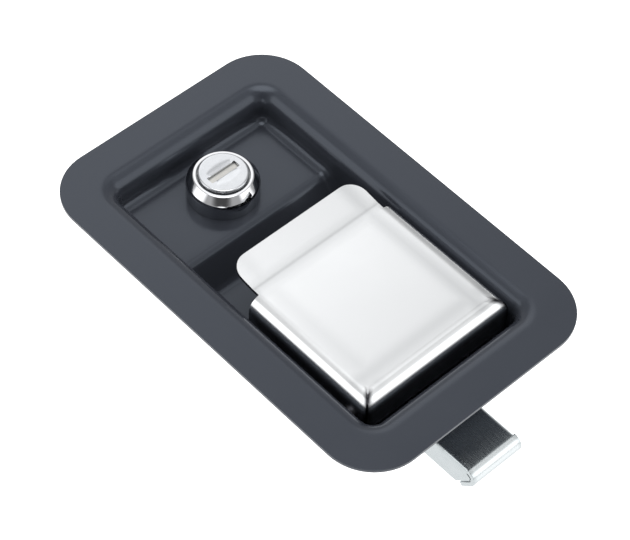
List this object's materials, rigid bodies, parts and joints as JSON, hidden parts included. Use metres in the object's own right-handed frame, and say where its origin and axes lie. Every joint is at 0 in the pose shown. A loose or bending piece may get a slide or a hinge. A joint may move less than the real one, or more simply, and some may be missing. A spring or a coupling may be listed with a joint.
{
  "type": "paddle lock handle",
  "caption": "Flush paddle latch with key lock: black pressed pan, bright folded paddle on a pivot pin, spring bolt drawn in by the paddle, cam lock that blocks the bolt.",
  "frame": {"origin": "middle of the back face of the flange, where it lies on the panel", "axes": "+Z out of the panel towards the hand, +X along the pan towards the bolt, +Y across it"},
  "size_m": [0.1468, 0.09, 0.0382],
  "materials": {
    "black_coat": "fine-grained satin black powder coat",
    "satin_stainless": "satin stainless sheet",
    "zinc_plate": "bright zinc plate, slightly bluish",
    "chrome_plate": "polished chrome plate",
    "cast_zinc": "dull cast zinc alloy",
    "wafer_brass": "plain stamped brass",
    "spring_steel": "oiled spring wire"
  },
  "bodies": {
    "pan": {"tray": "black_coat", "mounting_studs": "zinc_plate", "pivot_pin": "zinc_plate", "pin_retainer": "spring_steel", "paddle_spring": "spring_steel", "bolt_housing": "zinc_plate", "housing_rivets": "zinc_plate", "bolt_spring": "spring_steel", "lock_housing": "cast_zinc", "lock_bezel": "chrome_plate", "lock_washer": "zinc_plate", "lock_nut": "zinc_plate"},
    "paddle": {"paddle": "satin_stainless", "pull_lever": "zinc_plate"},
    "bolt": {"bolt": "zinc_plate"},
    "plug": {"lock_plug": "chrome_plate", "lock_wafers": "wafer_brass", "shutter_pin": "spring_steel", "lock_cam": "zinc_plate", "cam_washer": "zinc_plate", "cam_screw": "zinc_plate"},
    "shutter": {"dust_shutter": "satin_stainless"}
  },
  "joints": [
    {"name": "paddle_hinge", "type": "hinge", "parent": "pan", "child": "paddle", "pos_m": [0.044, 0, -0.0072], "axis": [0, 1, 0], "range_deg": [0, 30], "stiffness_Nm_per_rad": 0.385, "springref_deg": -31.28, "deforming": ["paddle_spring"]},
    {"name": "bolt_slide", "type": "slide", "parent": "pan", "child": "bolt", "axis": [-1, 0, 0], "range_m": [0, 0.0088], "deforming": ["bolt_spring"]},
    {"name": "lock_turn", "type": "hinge", "parent": "pan", "child": "plug", "pos_m": [-0.0392, 0, -0.0001], "axis": [0, 0, 1], "range_deg": [0, 90]},
    {"name": "shutter_flap", "type": "hinge", "parent": "plug", "child": "shutter", "pos_m": [-0.03775, 0, -0.0014], "axis": [0, -1, 0], "range_deg": [0, 80], "stiffness_Nm_per_rad": 0.00001, "springref_deg": -45.84}
  ],
  "couplings": [
    {"joint": "bolt_slide", "follows": "paddle_hinge", "m_per_rad": 0.016806}
  ]
}
